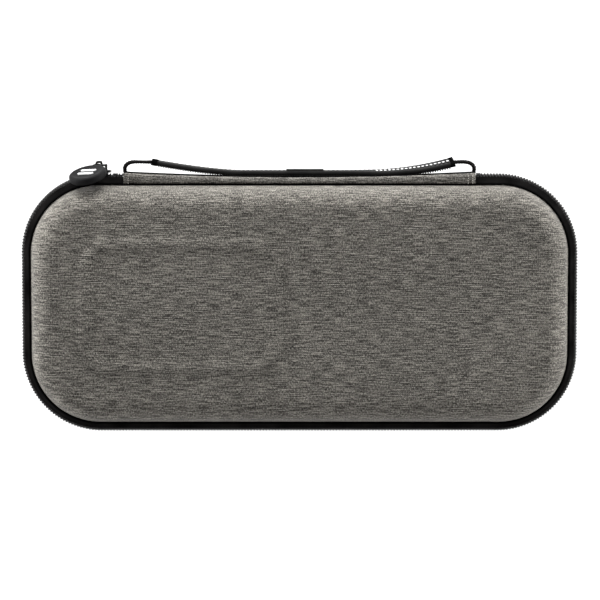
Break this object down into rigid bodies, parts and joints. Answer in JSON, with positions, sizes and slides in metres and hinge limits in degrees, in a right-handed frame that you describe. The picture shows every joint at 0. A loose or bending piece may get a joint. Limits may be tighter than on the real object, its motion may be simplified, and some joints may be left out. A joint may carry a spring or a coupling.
{
  "type": "portable game console case",
  "caption": "Moulded zip case for a handheld game console, with a fabric spine, strap handle, disc zip pull, inner tray, card divider and mesh pocket.",
  "frame": {"origin": "centre of the base shell's flat bottom face, on the surface that the case lies on", "axes": "+X along the spine, +Y from the front towards the spine and handle, +Z from the base to the lid"},
  "size_m": [0.26, 0.1269, 0.0466],
  "materials": {
    "heather_fabric": "woven grey heather over moulded foam",
    "inner_felt": "short dark felt",
    "zipper_tape": "woven black tape",
    "zipper_coil": "black nylon coil",
    "piping": "black binding",
    "spine_fabric": "woven pale grey heather",
    "black_metal": "black enamel",
    "handle_webbing": "black coated webbing",
    "black_cord": "braided black cord",
    "mesh": "black net",
    "card_fabric": "black elastic cloth",
    "pull_rubber": "satin grey rubber",
    "white_print": "white moulded bars"
  },
  "bodies": {
    "base": {"base_shell": "heather_fabric", "console_tray": "inner_felt", "base_zipper_tape": "zipper_tape", "base_zipper_coil": "zipper_coil", "base_piping": "piping", "base_hinge_flap": "spine_fabric", "divider_anchor": "inner_felt", "zipper_end_stop": "black_metal"},
    "spine": {"spine_panel": "spine_fabric", "spine_lining": "inner_felt"},
    "handle": {"handle_strap": "handle_webbing", "handle_patch": "handle_webbing", "handle_cord_left": "black_cord", "handle_cord_right": "black_cord"},
    "lid": {"lid_shell": "heather_fabric", "lid_zipper_tape": "zipper_tape", "lid_zipper_coil": "zipper_coil", "lid_piping": "piping", "lid_hinge_flap": "spine_fabric", "pocket_mesh": "mesh", "pocket_binding": "piping", "pocket_zip_tape": "zipper_tape", "pocket_zip_coil": "zipper_coil", "zipper_start_stop": "black_metal"},
    "pocket_slider": {"pocket_slider": "black_metal"},
    "pocket_pull": {"pocket_pull": "black_metal"},
    "divider": {"divider_pad": "inner_felt", "card_pockets": "card_fabric"},
    "slider": {"zip_slider": "black_metal"},
    "pull": {"pull_loop": "black_cord"},
    "disc": {"pull_disc": "pull_rubber", "disc_grip_bars": "white_print"}
  },
  "joints": [
    {"name": "spine_fold", "type": "hinge", "parent": "base", "child": "spine", "pos_m": [0, 0.0605, 0.0145], "axis": [-1, 0, 0], "range_deg": [0, 89.4]},
    {"name": "lid_fold", "type": "hinge", "parent": "spine", "child": "lid", "pos_m": [0, 0.0605, 0.0315], "axis": [-1, 0, 0], "range_deg": [0, 89.4]},
    {"name": "divider_turn", "type": "hinge", "parent": "base", "child": "divider", "pos_m": [0, 0.0495, 0.019], "axis": [-1, 0, 0], "range_deg": [0, 89.4]},
    {"name": "handle_lift", "type": "slide", "parent": "spine", "child": "handle", "axis": [0, 1, 0], "range_m": [0, 0.006], "deforming": ["handle_cord_left", "handle_cord_right"]},
    {"name": "zipper_travel", "type": "hinge", "parent": "lid", "child": "slider", "pos_m": [-0.0928, 0.0233, 0.023], "axis": [0, 0, -1], "range_deg": [-60, 0]},
    {"name": "pull_swing", "type": "hinge", "parent": "slider", "child": "pull", "pos_m": [-0.0928, 0.0642, 0.023], "axis": [1, 0, 0], "range_deg": [-60, 0]},
    {"name": "disc_swing", "type": "hinge", "parent": "pull", "child": "disc", "pos_m": [-0.09393, 0.0642, 0.02736], "axis": [0.9681, 0, 0.2504], "range_deg": [-30, 0]},
    {"name": "pocket_zip", "type": "slide", "parent": "lid", "child": "pocket_slider", "axis": [-1, 0, 0], "range_m": [0, 0.17]},
    {"name": "pocket_pull_swing", "type": "hinge", "parent": "pocket_slider", "child": "pocket_pull", "pos_m": [0.0858, -0.024, 0.02885], "axis": [0, -1, 0], "range_deg": [0, 15]}
  ],
  "couplings": [
    {"joint": "lid_fold", "follows": "spine_fold", "ratio": 1},
    {"joint": "divider_turn", "follows": "spine_fold", "ratio": 1}
  ]
}
